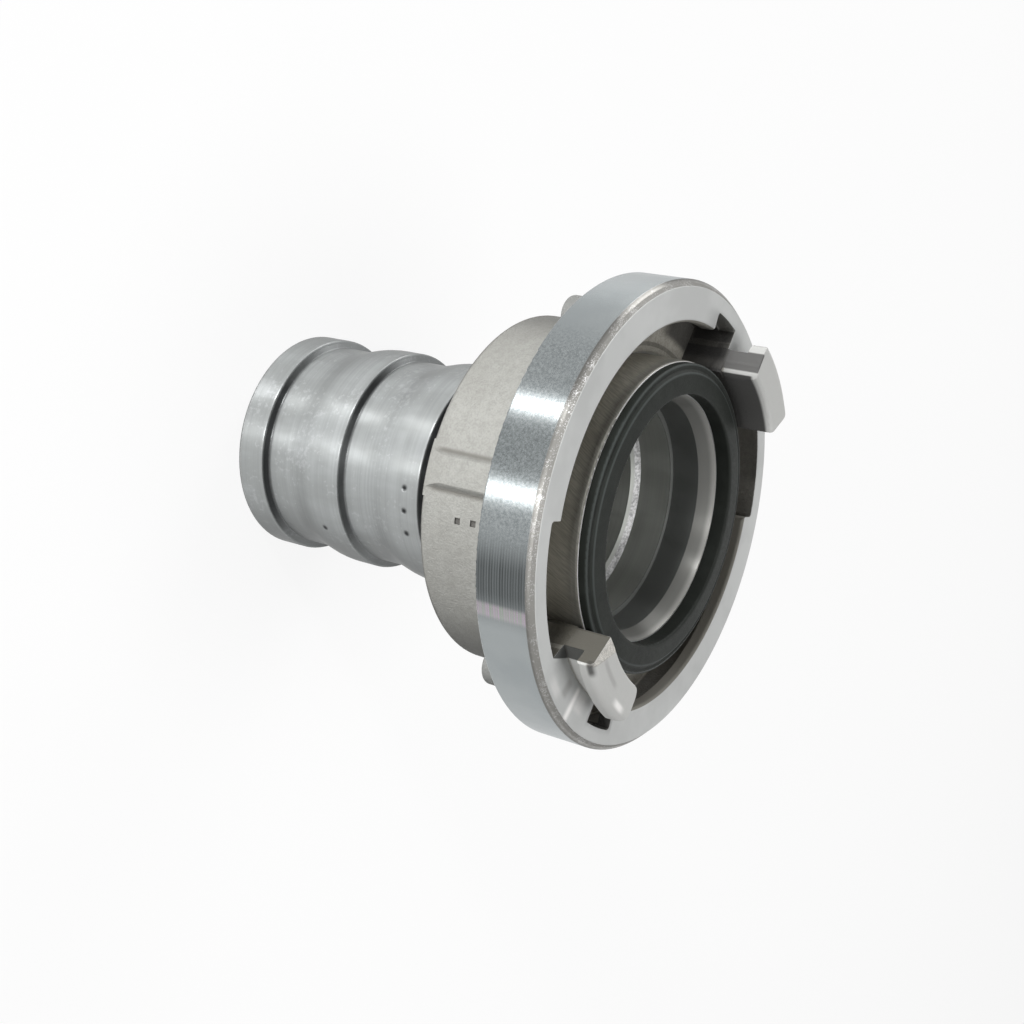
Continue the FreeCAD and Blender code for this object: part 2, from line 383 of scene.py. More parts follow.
@dataclass(frozen=True)
class PaintedPatch:
    """A soft-edged patch painted on the casting: a painted highlight, painted shade or a darker streak.

    Attributes:
        angles: Its first and last angle.
        radii: Its inner and outer radius.
        heights: Its bottom and top.
        level: Its brightness.
        strength: How far it covers what is below it.
        angle_soft: The angle over which it fades.
        soft: The radius over which it fades.
        height_soft: The height over which it fades.
    """

    angles: tuple[float, float]
    radii: tuple[float, float]
    heights: tuple[float, float]
    level: float
    strength: float
    angle_soft: float
    soft: float = 0.0006
    height_soft: float = 0.00005


@dataclass(frozen=True)
class CastingFinish(Finish):
    """The claw ring: a sandy casting whose rim, front face and inside are turned.

    Attributes:
        rim_radius: Outer radius of the rim.
        rim_rear: Height of the rim's rear face.
        front: Height of the front face.
        chamfer: Width of the rim's front chamfer.
        lip_radius: Radius of the opening in the front lip.
        lip_rear: Height of the lip's underside.
        floor: Height of the floor of the space behind the lip.
        cavity_radius: Radius of that space.
        neck_radius: Radius of the claws' necks, under their hooks.
        slot_radius: Outer radius of the slots.
        claw_ends_at: Angles of the claws' leading ends, on +X and on -X.
        flat_angle: Direction of the edge of the ground flat, in degrees.
        flat_offset: That edge's distance from the axis.
        rib_angle: Direction of the first rib, in degrees.
        marks: Painted highlights and painted shade on and beside both claws, and a darker streak on the claw on
            +X.
        feed_pitch: Spacing of the regular turning lines on the rim.
        anisotropy: How far the turning lines stretch a reflection along the axis.
    """

    rim_radius: float = 0.049
    rim_rear: float = 0.0824
    front: float = 0.095
    chamfer: float = 0.0014
    lip_radius: float = 0.0404
    lip_rear: float = 0.0922
    floor: float = 0.0854
    cavity_radius: float = 0.044
    neck_radius: float = 0.040
    slot_radius: float = 0.044
    claw_ends_at: tuple[float, float] = (-0.24784, 2.86757)
    flat_angle: float = -32.7
    flat_offset: float = 0.0145
    rib_angle: float = -57.4
    marks: tuple[PaintedPatch, ...] = (
        # Painted highlight: a bright radial streak on the front face.
        PaintedPatch((0.060, 0.092), (0.0407, 0.0478), (0.0949, 0.0951), 0.98, 0.85, 0.016),
        # Painted highlight: a light patch on the face beside the hook.
        PaintedPatch((0.090, 0.190), (0.0402, 0.0446), (0.0949, 0.0951), 0.80, 0.50, 0.040),
        # Painted shade: a dark smudge on the face.
        PaintedPatch((-0.050, 0.000), (0.0415, 0.0450), (0.0949, 0.0951), 0.30, 0.60, 0.020),
        # Painted highlight: a lighter patch on the face, towards the rim.
        PaintedPatch((-0.160, -0.060), (0.0450, 0.0470), (0.0949, 0.0951), 0.80, 0.50, 0.040),
        # Painted shade on the hook's outer corner at its leading end.
        PaintedPatch((-0.250, -0.175), (0.0420, 0.0434), (0.1017, 0.1028), 0.04, 0.85, 0.022, 0.0002, 0.0004),
        # Painted highlight: a glint on the claw's top.
        PaintedPatch((0.080, 0.180), (0.0405, 0.0418), (0.1020, 0.1040), 1.00, 0.85, 0.035, 0.0004, 0.0003),
        # Painted shade: a dark line at the far claw's trailing end.
        PaintedPatch((-2.908, -2.889), (0.0330, 0.0402), (0.0850, 0.1040), 0.07, 0.90, 0.003, 0.0002, 0.0005),
        # Painted shade behind the lip, past the far claw.
        PaintedPatch((-2.960, -2.600), (0.0375, 0.0446), (0.0850, 0.0949), 0.03, 0.85, 0.080, 0.0010, 0.0004),
        # Painted shade behind the lip, past the claw on +X.
        PaintedPatch((0.260, 0.520), (0.0375, 0.0450), (0.0850, 0.0949), 0.03, 0.85, 0.010, 0.0010, 0.0004),
        # A darker streak down the claw's top.
        PaintedPatch((-0.190, 0.020), (0.0385, 0.0396), (0.1015, 0.1040), 0.33, 0.50, 0.030, 0.0004, 0.0004))
    feed_pitch: float = 0.0006
    anisotropy: float = 1.0

    def skin(self, wiring: Wiring, place: Value, radius: Value, height: Value) -> tuple:
        """Colours the cast skin, smoother on the claws, browner inside, with painted shade on the cavity wall
        and claws' inner faces.

        Args:
            wiring: The material's wiring.
            place: The point that is shaded.
            radius: Its radius.
            height: Its height.

        Returns:
            The colour and the height of the grain.
        """
        grain = wiring.group(Effect.CAST_GRAIN, Place=place, Scale=2400.0)
        stain = wiring.group(Effect.BLOTCHES, Place=place, Scale=70.0)
        sandy = wiring.blend(grain.outputs["Tone"], grey(0.33, 0.035, 0.03), grey(0.41, 0.03, 0.03))
        sandy = wiring.blend(wiring.math("MULTIPLY", stain.outputs["Mask"], 0.3), sandy, grey(0.29, 0.05, 0.03))
        # Behind the lip the skin is browner and a little darker; the darkening is partly painted shade.
        inside = wiring.math("MULTIPLY",
                             wiring.span(radius, self.cavity_radius + 0.0003, self.cavity_radius + 0.0001),
                             wiring.band(height, self.floor - 0.0002, self.front + 0.0001, 0.0002))
        brown = wiring.blend(grain.outputs["Tone"], grey(0.24, 0.09, 0.04), grey(0.35, 0.08, 0.04))
        color = wiring.blend(inside, sandy, brown)
        # Painted shade on the cavity's outer wall, under the lip.
        wall_shade = wiring.math("MULTIPLY", inside, wiring.span(radius, self.lip_radius + 0.0010,
                                                           self.lip_radius + 0.0014))
        wall_shade = wiring.math("MULTIPLY", wall_shade, wiring.span(height, self.floor + 0.0002, self.floor + 0.0008))
        color = wiring.blend(wiring.math("MULTIPLY", wall_shade, 0.8), color, grey(0.07, 0.05, 0.02))
        claws = wiring.span(height, self.front + 0.0002, self.front + 0.0006)
        color = wiring.blend(wiring.math("MULTIPLY", claws, 0.85), color, grey(0.58, 0.01, 0.015))
        # Painted shade on the claws' inner faces.
        dark = wiring.math("MULTIPLY", wiring.band(radius, 0.0344, 0.0353, 0.0001),
                           wiring.band(height, self.floor, self.front + 0.0068, 0.0004))
        color = wiring.blend(wiring.math("MULTIPLY", dark, 0.92), color, grey(0.02, 0.04))
        tall = wiring.math("MULTIPLY", grain.outputs["Height"], wiring.span(claws, 0.0, 1.0, 1.0, 0.3))
        return color, tall

    def ground_corner(self, wiring: Wiring, place: Value, angle: Value, height: Value) -> tuple:
        """Colours the rough flat on the claw on +X, where the casting's gate was ground off.

        Args:
            wiring: The material's wiring.
            place: The point that is shaded.
            angle: Its angle.
            height: Its height.

        Returns:
            The flat's mask, its colour and the height of its roughness.
        """
        across = wiring.node("ShaderNodeVectorMath", operation="DOT_PRODUCT")
        wiring.feed(across.inputs[0], place)
        turn = math.radians(self.flat_angle)
        across.inputs[1].default_value = (-math.sin(turn), math.cos(turn), 0.0)
        mask = wiring.math("MULTIPLY", wiring.band(angle, self.claw_ends_at[0] + 0.0015, 0.1, 0.001),
                           wiring.span(height, self.front + 0.0066, self.front + 0.0069))
        mask = wiring.math("MULTIPLY", mask, wiring.span(across.outputs["Value"], self.flat_offset,
                                                         self.flat_offset - 0.0002))
        grit = wiring.group(Effect.CAST_GRAIN, Place=place, Scale=5200.0)
        color = wiring.blend(grit.outputs["Tone"], grey(0.34, 0.05, 0.02), grey(0.62, 0.05, 0.02))
        return mask, color, wiring.math("MULTIPLY", grit.outputs["Height"], 0.9)

    def rib_foot_shade(self, wiring: Wiring, radius: Value, angle: Value, height: Value) -> Value:
        """Masks the painted shade in the corners along both sides of each rib.

        Args:
            wiring: The material's wiring.
            radius: Radius of the point that is shaded.
            angle: Its angle.
            height: Its height.

        Returns:
            A mask that is strongest in the corners.
        """
        past = wiring.math("SUBTRACT", angle, math.radians(self.rib_angle) - 0.35)
        aside = wiring.math("SUBTRACT", wiring.math("FLOORED_MODULO", past, math.pi), 0.35)
        aside = wiring.math("ABSOLUTE", aside)
        corner = wiring.band(aside, math.radians(5.3), math.radians(6.6), math.radians(0.7))
        low = wiring.math("MULTIPLY", wiring.span(radius, 0.0382, 0.0378), wiring.span(radius, 0.0372, 0.0374))
        corner = wiring.math("MULTIPLY", corner, low)
        return wiring.math("MULTIPLY", corner, wiring.band(height, 0.0625, self.rim_rear, 0.0015))

    def pits(self, wiring: Wiring, radius: Value, angle: Value, height: Value) -> Value:
        """Masks the insides of the two small square pits in the body.

        Args:
            wiring: The material's wiring.
            radius: Radius of the point that is shaded.
            angle: Its angle.
            height: Its height.

        Returns:
            A mask that is 1 inside the pits.
        """
        mask = wiring.math("MULTIPLY", wiring.band(radius, 0.0368, 0.03742, 0.00003),
                           wiring.band(angle, -0.785, -0.735, 0.002))
        return wiring.math("MULTIPLY", mask, wiring.band(height, 0.0690, 0.0745, 0.0001))

    def claw_light_and_shade(self, wiring: Wiring, color: Value, radius: Value, angle: Value,
                        height: Value) -> Value:
        """Paints the highlights and shade on and beside both claws, and the darker streak on the claw on +X.

        Args:
            wiring: The material's wiring.
            color: The colour without them.
            radius: Radius of the point that is shaded.
            angle: Its angle.
            height: Its height.

        Returns:
            The colour with the painted highlights, shade and streak.
        """
        for mark in self.marks:
            mask = wiring.band(angle, *mark.angles, mark.angle_soft)
            mask = wiring.math("MULTIPLY", mask, wiring.band(radius, *mark.radii, mark.soft))
            mask = wiring.math("MULTIPLY", mask, wiring.band(height, *mark.heights, mark.height_soft))
            color = wiring.blend(wiring.math("MULTIPLY", mask, mark.strength), color, grey(mark.level, 0.02))
        return color

    def hook_shade(self, wiring: Wiring, radius: Value, angle: Value, height: Value) -> Value:
        """Masks the dark corner under each hook, at the claw's leading end.

        Args:
            wiring: The material's wiring.
            radius: Radius of the point that is shaded.
            angle: Its angle.
            height: Its height.

        Returns:
            A mask that is 1 in the corners.
        """
        reach = wiring.math("MULTIPLY", wiring.math("SUBTRACT", self.slot_radius, radius), 22.0)
        mask: Value = 0.0
        for end in self.claw_ends_at:
            past = wiring.math("FLOORED_MODULO", wiring.math("SUBTRACT", angle, end - 0.001), 2 * math.pi)
            near = wiring.span(wiring.math("SUBTRACT", past, reach), 0.004, -0.004)
            mask = wiring.math("MAXIMUM", near, mask)
        mask = wiring.math("MULTIPLY", mask, wiring.band(radius, self.neck_radius - 0.0001,
                                                         self.slot_radius, 0.00005))
        return wiring.math("MULTIPLY", mask, wiring.band(height, self.front - 0.0001,
                                                         self.front + 0.0045, 0.0001))

    def claw_ends(self, wiring: Wiring, angle: Value, height: Value, radius: Value) -> Value:
        """Masks the faces at the claws' leading ends."""
        ends: Value = 0.0
        for end in self.claw_ends_at:
            ends = wiring.math("MAXIMUM", wiring.band(angle, end - 0.002, end + 0.0006, 0.0006), ends)
        return wiring.math("MULTIPLY", ends, wiring.span(height, self.lip_rear - 0.008, self.lip_rear))

    def material(self) -> bpy.types.Material:
        """Builds the material."""
        material, wiring, shader = self.start()
        place, radius, angle, height = self.place(wiring)
        cast, tall = self.skin(wiring, place, radius, height)
        # The claws' leading end faces get a brown tone, darkened further as painted shade.
        ends = self.claw_ends(wiring, angle, height, radius)
        cast = wiring.blend(wiring.math("MULTIPLY", ends, 0.95), cast, grey(0.085, 0.12, 0.06))
        corner, grit, bumps = self.ground_corner(wiring, place, angle, height)
        cast = wiring.blend(corner, cast, grit)
        tall = wiring.math("MAXIMUM", tall, wiring.math("MULTIPLY", corner, bumps))

        rim = wiring.span(radius, self.rim_radius - 0.0008, self.rim_radius - 0.0006)
        marks = wiring.group(Effect.TURNING_MARKS, Across=height, Angle=angle, Pitch=0.00025)
        wave = wiring.math("SINE", wiring.math("MULTIPLY", height, 2 * math.pi / self.feed_pitch))
        wave = wiring.math("MULTIPLY_ADD", wave, 0.30, 0.5)
        lined = wiring.math("MULTIPLY_ADD", marks.outputs["Tone"], 0.3, wiring.math("MULTIPLY", wave, 0.7))
        ridged = wiring.band(angle, -0.76, -0.50, 0.09)
        between = wiring.band(angle, -1.24, -1.04, 0.06)
        cool = wiring.group(Effect.BLOTCHES, Place=place, Scale=75.0)
        glitter = wiring.group(Effect.CAST_GRAIN, Place=place, Scale=6500.0)
        sparkle = wiring.math("MULTIPLY", wiring.band(angle, -1.66, -0.78, 0.12), 0.7)
        turned = wiring.blend(wiring.math("MULTIPLY", cool.outputs["Mask"], 0.5), grey(0.38, -0.04, 0.03),
                              grey(0.32, -0.06, 0.03))
        # Painted reflection: the rim is darker between the two lamp bands.
        turned = wiring.blend(wiring.math("MULTIPLY", between, 0.8), turned, grey(0.18, -0.06, 0.04))
        specks = wiring.blend(glitter.outputs["Tone"], grey(0.15, -0.06, 0.04), grey(0.40, -0.04, 0.03))
        turned = wiring.blend(sparkle, turned, specks)
        # The turning lines in the ridged band are real; their dark ground is a painted dark reflection.
        ground = wiring.blend(lined, grey(0.04, -0.05, 0.04), grey(0.21, -0.05, 0.03))
        turned = wiring.blend(ridged, turned, ground)
        # Painted reflection: a rainbow-tinted streak across the rim.
        rainbow_reflection = wiring.math("MULTIPLY", wiring.band(angle, -0.528, -0.472, 0.012), 0.55)
        shimmer = wiring.blend(marks.outputs["Tone"], (0.40, 0.50, 0.38, 1.0), (0.62, 0.46, 0.60, 1.0))
        turned = wiring.blend(rainbow_reflection, turned, shimmer)

        level = wiring.band(height, self.front - 0.0001, self.front + 0.0001, 0.00005)
        face = wiring.math("MULTIPLY", level,
                           wiring.span(radius, self.neck_radius, self.neck_radius + 0.0001))
        cloud = wiring.group(Effect.BLOTCHES, Place=place, Scale=90.0)
        front = wiring.blend(cloud.outputs["Mask"], grey(0.52, 0.0, 0.015), grey(0.565, 0.0, 0.015))

        bore = wiring.math("MULTIPLY", wiring.band(radius, self.lip_radius - 0.0002,
                                                   self.lip_radius + 0.0009, 0.0001),
                           wiring.span(height, self.lip_rear - 0.0002, self.lip_rear + 0.0002))
        bore = wiring.math("SUBTRACT", bore, wiring.span(height, self.front - 0.0001, self.front - 0.00005),
                           clamp=True)

        bevel = wiring.math("MULTIPLY", wiring.span(radius, 0.0475, 0.0477),
                            wiring.span(height, self.front - self.chamfer - 0.0001,
                                        self.front - self.chamfer + 0.0001))
        bevel = wiring.math("SUBTRACT", bevel, level, clamp=True)
        nicks = wiring.group(Effect.SCUFFS, Place=place, Scale=3400.0, Amount=0.8)
        # Bright nicks on the chamfer are wear; where the lamp bands cross it they are strengthened as painted
        # glints.
        nicks_and_glints = wiring.math("MULTIPLY", nicks.outputs["Mask"],
                           wiring.span(wiring.band(angle, -1.55, -0.95, 0.15), 0.0, 1.0, 0.35, 1.0))
        edge = wiring.blend(nicks_and_glints, grey(0.24, 0.04, 0.02), grey(0.80, 0.0))
        edge = wiring.blend(wiring.span(radius, 0.0485, 0.0489, 0.0, 0.6), edge, grey(0.11, 0.04, 0.02))

        color = wiring.blend(rim, cast, turned)
        color = wiring.blend(face, color, front)
        color = wiring.blend(bore, color, grey(0.20, 0.08, 0.04))
        color = wiring.blend(bevel, color, edge)
        color = self.claw_light_and_shade(wiring, color, radius, angle, height)
        shade = self.hook_shade(wiring, radius, angle, height)
        color = wiring.blend(wiring.math("MULTIPLY", shade, 0.9), color, grey(0.045, 0.02, 0.06))
        # Painted shade inside the two small pits.
        color = wiring.blend(self.pits(wiring, radius, angle, height), color, grey(0.14, 0.05, 0.02))
        # Painted shade along the feet of the ribs.
        color = wiring.blend(self.rib_foot_shade(wiring, radius, angle, height), color, grey(0.20, 0.06, 0.03))
        # Painted shade: the body is darkened where it turns away from the view.
        body = wiring.math("MULTIPLY", wiring.span(radius, 0.0390, 0.0385), wiring.span(height, 0.083, 0.081))
        body = wiring.math("MULTIPLY", body, self.turned_away(wiring))
        color = wiring.blend(body, color, grey(0.06, 0.05, 0.03))
        nubs = wiring.math("MULTIPLY", wiring.span(radius, 0.0392, 0.0396),
                           wiring.span(height, self.rim_rear - 0.0001, self.rim_rear - 0.0004))
        color = wiring.blend(wiring.math("MULTIPLY", nubs, 0.8), color, grey(0.24, 0.0, 0.02))
        wiring.feed(shader.inputs["Base Color"], color)
        bright = wiring.math("MAXIMUM", rim, wiring.math("MAXIMUM", face, wiring.math("MAXIMUM", bevel, bore)))
        metal = wiring.math("MAXIMUM", rim, wiring.math("MULTIPLY", bevel, 0.3))
        metal = wiring.math("MAXIMUM", metal, wiring.span(face, 0.0, 1.0, 0.10, 0.04))
        wiring.feed(shader.inputs["Metallic"], metal)
        rough = wiring.span(rim, 0.0, 1.0, 0.6, 0.27)
        rough = wiring.math("MULTIPLY_ADD", face, 0.12, rough)
        rough = wiring.math("MULTIPLY_ADD", bevel, 0.05, rough)
        wiring.feed(shader.inputs["Roughness"], rough)
        shader.inputs["Specular IOR Level"].default_value = 0.2
        shader.inputs["Anisotropic"].default_value = self.anisotropy
        shader.inputs["Anisotropic Rotation"].default_value = 0.25
        tall = wiring.math("MULTIPLY", tall, wiring.math("SUBTRACT", 1.0, bright))
        lines = wiring.math("MULTIPLY", marks.outputs["Height"],
                            wiring.math("MULTIPLY", rim, wiring.span(ridged, 0.0, 1.0, 0.03, 0.12)))
        wiring.feed(shader.inputs["Normal"], wiring.bump(wiring.math("ADD", tall, lines), 0.00022))
        return material


@dataclass(frozen=True)
class TurnedFinish(Finish):
    """The hose tail and head: satin turned aluminium, with painted shade behind the barbs, and olive on the
    head.

    Attributes:
        grooves: Heights of the painted shade at the steps and under the body, as pairs of bottom and top.
        dents: Small dents, as pairs of angle in degrees and height.
        dent_radius: Radius of the surface that carries the dents.
        dent_size: Radius of a dent.
        shelf_top: Height of the upper edge of the cone above the throat.
    """

    grooves: tuple[tuple[float, float], ...] = ((0.0073, 0.0077), (0.0289, 0.0293), (0.0505, 0.0565))
    dents: tuple[tuple[float, float], ...] = ((-44.5, 0.047), (-32.8, 0.047), (-20.4, 0.047), (-10.0, 0.0232))
    dent_radius: float = 0.0246
    dent_size: float = 0.0007
    shelf_top: float = 0.0766

    def dent_mask(self, wiring: Wiring, radius: Value, angle: Value, height: Value) -> Value:
        """Masks the dents.

        Args:
            wiring: The material's wiring.
            radius: Radius of the point that is shaded.
            angle: Its angle.
            height: Its height.

        Returns:
            A mask that is 1 in each dent.
        """
        total: Value = 0.0
        for degrees, level in self.dents:
            along = wiring.math("MULTIPLY", wiring.math("SUBTRACT", angle, math.radians(degrees)),
                                self.dent_radius)
            up = wiring.math("SUBTRACT", height, level)
            squares = wiring.math("ADD", wiring.math("MULTIPLY", along, along), wiring.math("MULTIPLY", up, up))
            spot = wiring.span(wiring.math("SQRT", squares), self.dent_size * 1.4, self.dent_size * 0.3)
            total = wiring.math("MAXIMUM", spot, total)
        outside = wiring.span(radius, self.dent_radius - 0.002, self.dent_radius - 0.001)
        return wiring.math("MULTIPLY", total, outside)

    def material(self) -> bpy.types.Material:
        """Builds the material."""
        material, wiring, shader = self.start()
        place, radius, angle, height = self.place(wiring)
        marks = wiring.group(Effect.TURNING_MARKS, Across=height, Angle=angle, Pitch=0.0005)
        stretch = wiring.node("ShaderNodeVectorMath", operation="MULTIPLY")
        wiring.feed(stretch.inputs[0], place)
        stretch.inputs[1].default_value = (1.0, 1.0, 0.4)
        sheen = wiring.group(Effect.BLOTCHES, Place=stretch.outputs[0], Scale=130.0)
        fine = wiring.group(Effect.SCUFFS, Place=place, Scale=900.0, Amount=0.7)
        color = wiring.blend(marks.outputs["Tone"], grey(0.36, -0.02, 0.02), grey(0.42, -0.02, 0.02))
        dull = wiring.math("MULTIPLY", sheen.outputs["Mask"], 0.5)
        color = wiring.blend(dull, color, grey(0.28, -0.01, 0.03))
        color = wiring.blend(wiring.math("MULTIPLY", fine.outputs["Mask"], 0.3), color, grey(0.60, -0.02))

        # The dents are dark marks; the dark lines at the steps and under the body are painted shade, stronger
        # on one side.
        dents_and_groove_shade: Value = self.dent_mask(wiring, radius, angle, height)
        uneven = wiring.noise(place, 60.0, 2.0, 0.5)
        groove_shade_strength = wiring.math("ADD", wiring.math("MULTIPLY", wiring.band(angle, -2.0, 0.05, 0.3), 0.45),
                            wiring.math("MULTIPLY", uneven, 0.9), clamp=True)
        for low, high in self.grooves:
            rise = wiring.span(height, low - 0.0002, low + 0.0001)
            fall = wiring.span(height, high, high + 0.0008)
            line = wiring.math("SUBTRACT", rise, fall, clamp=True)
            dents_and_groove_shade = wiring.math("MAXIMUM", dents_and_groove_shade, wiring.math("MULTIPLY", line, groove_shade_strength))
        outside = wiring.span(radius, 0.0222, 0.0226)
        below = wiring.span(height, 0.0585, 0.0580)
        dents_and_groove_shade = wiring.math("MULTIPLY", dents_and_groove_shade, wiring.math("MULTIPLY", outside, below))
        # Painted shade on the tail's sides, where it turns away from the view.
        sides = wiring.math("MULTIPLY", self.turned_away(wiring), wiring.math("MULTIPLY", outside, below))
        color = wiring.blend(sides, color, grey(0.09, -0.01, 0.03))
        color = wiring.blend(wiring.math("MULTIPLY", dents_and_groove_shade, 0.92), color, grey(0.02, -0.05))

        head = wiring.math("MULTIPLY", wiring.span(radius, 0.0316, 0.0319), wiring.span(height, 0.064, 0.065))
        slant = wiring.vector(wiring.math("MULTIPLY", height, 900.0),
                              wiring.math("MULTIPLY", angle, 60.0), 0.0)
        skew = wiring.node("ShaderNodeVectorRotate", rotation_type="Z_AXIS")
        wiring.feed(skew.inputs["Vector"], slant)
        skew.inputs["Angle"].default_value = 0.7
        flat = wiring.node("ShaderNodeVectorMath", operation="MULTIPLY")
        wiring.feed(flat.inputs[0], skew.outputs[0])
        flat.inputs[1].default_value = (1.0, 0.08, 1.0)
        scores = wiring.noise(flat.outputs[0], 2.6, 2.0, 0.6)
        olive = wiring.blend(wiring.span(scores, 0.34, 0.66), grey(0.33, 0.09, 0.05), grey(0.46, 0.09, 0.05))
        # Painted shade: the head's side darkens towards its top, under the lip.
        olive = wiring.blend(wiring.span(height, 0.0915, 0.0942, 0.0, 0.75), olive, grey(0.08, 0.05, 0.04))
        color = wiring.blend(head, color, olive)

        bore = wiring.math("MULTIPLY", wiring.span(radius, 0.02595, 0.02590), wiring.span(height, 0.060, 0.061))
        bore = wiring.math("MAXIMUM", bore, wiring.span(radius, 0.0216, 0.0214))
        depth = wiring.span(height, 0.0838, 0.0842)
        inner = wiring.blend(depth, grey(0.36, 0.02, 0.05), grey(0.125, 0.0, 0.05))
        inner = wiring.blend(wiring.math("MULTIPLY", marks.outputs["Tone"], 0.15), inner, grey(0.12, 0.0))
        color = wiring.blend(bore, color, inner)
        cone = wiring.math("MULTIPLY", wiring.span(height, 0.0902, 0.0904), wiring.span(radius, 0.0260, 0.0259))
        # Painted highlight: the cone is lighter towards its outer edge.
        lit = wiring.blend(wiring.span(radius, 0.0252, 0.0257), grey(0.19, 0.03, 0.03), grey(0.33, 0.03, 0.02))
        color = wiring.blend(cone, color, lit)
        shelf = wiring.math("MULTIPLY", wiring.band(height, 0.0758, self.shelf_top, 0.0001),
                            wiring.span(radius, 0.0233, 0.02325))
        # Painted highlight: a bright speckled band on the shelf.
        glint = wiring.group(Effect.CAST_GRAIN, Place=place, Scale=1900.0)
        color = wiring.blend(shelf, color, wiring.blend(glint.outputs["Tone"], grey(0.26), grey(0.62)))
        # Painted highlight along the rounded edge of the head's crown.
        crown_highlight = wiring.math("MULTIPLY", wiring.band(height, 0.09455, 0.0950, 0.0001),
                            wiring.span(radius, 0.0316, 0.0318))
        color = wiring.blend(crown_highlight, color, grey(0.75, 0.0))
        wiring.feed(shader.inputs["Base Color"], color)

        metal = wiring.math("MAXIMUM", wiring.span(head, 0.0, 1.0, 0.42, 0.3), dents_and_groove_shade)
        wiring.feed(shader.inputs["Metallic"], metal)
        shader.inputs["Specular IOR Level"].default_value = 0.3
        rough = wiring.span(sheen.outputs["Mask"], 0.0, 1.0, 0.46, 0.38)
        wiring.feed(shader.inputs["Roughness"], rough)
        shader.inputs["Anisotropic"].default_value = 0.85
        shader.inputs["Anisotropic Rotation"].default_value = 0.25
        tall = wiring.math("SUBTRACT", wiring.math("MULTIPLY", marks.outputs["Height"], 0.1), dents_and_groove_shade)
        wiring.feed(shader.inputs["Normal"], wiring.bump(tall, 0.0002))
        return material


@dataclass(frozen=True)
class RubberFinish(Finish):
    """The seal: dark moulded rubber with dusty patches, and painted highlights along two ridges.

    Attributes:
        ridges: Radii of the two painted highlight lines.
        front: Height of the ring's front face.
    """

    ridges: tuple[float, ...] = (0.0304, 0.0321)
    front: float = 0.095

    def material(self) -> bpy.types.Material:
        """Builds the material."""
        material, wiring, shader = self.start()
        place, radius, angle, height = self.place(wiring)
        grain = wiring.group(Effect.CAST_GRAIN, Place=place, Scale=4000.0)
        dust = wiring.group(Effect.BLOTCHES, Place=place, Scale=160.0)
        color = wiring.blend(wiring.math("MULTIPLY", dust.outputs["Mask"], 0.5),
                             (0.0155, 0.0175, 0.0155, 1.0), (0.024, 0.027, 0.024, 1.0))
        # Painted highlights along the rounded edges of the two ridges.
        lines: Value = 0.0
        for ridge in self.ridges:
            lines = wiring.math("MAXIMUM", wiring.band(radius, ridge - 0.0002, ridge + 0.0002, 0.0001), lines)
        lines = wiring.math("MULTIPLY", lines, wiring.span(height, self.front, self.front + 0.0005))
        color = wiring.blend(wiring.math("MULTIPLY", lines, 0.7), color, (0.055, 0.062, 0.060, 1.0))
        wiring.feed(shader.inputs["Base Color"], color)
        wiring.feed(shader.inputs["Roughness"], wiring.span(grain.outputs["Tone"], 0.0, 1.0, 0.42, 0.52))
        shader.inputs["Specular IOR Level"].default_value = 0.08
        wiring.feed(shader.inputs["Normal"], wiring.bump(grain.outputs["Height"], 0.00003))
        return material


@dataclass(frozen=True)
class WireFinish(Finish):
    """The retaining ring: drawn spring wire."""

    def material(self) -> bpy.types.Material:
        """Builds the material."""
        material, wiring, shader = self.start()
        place, radius, angle, height = self.place(wiring)
        marks = wiring.group(Effect.TURNING_MARKS, Across=radius, Angle=angle, Pitch=0.0001)
        color = wiring.blend(marks.outputs["Tone"], grey(0.22), grey(0.32))
        wiring.feed(shader.inputs["Base Color"], color)
        shader.inputs["Metallic"].default_value = 1.0
        wiring.feed(shader.inputs["Roughness"], wiring.span(marks.outputs["Tone"], 0.0, 1.0, 0.30, 0.38))
        wiring.feed(shader.inputs["Normal"], wiring.bump(marks.outputs["Height"], 0.00001))
        return material


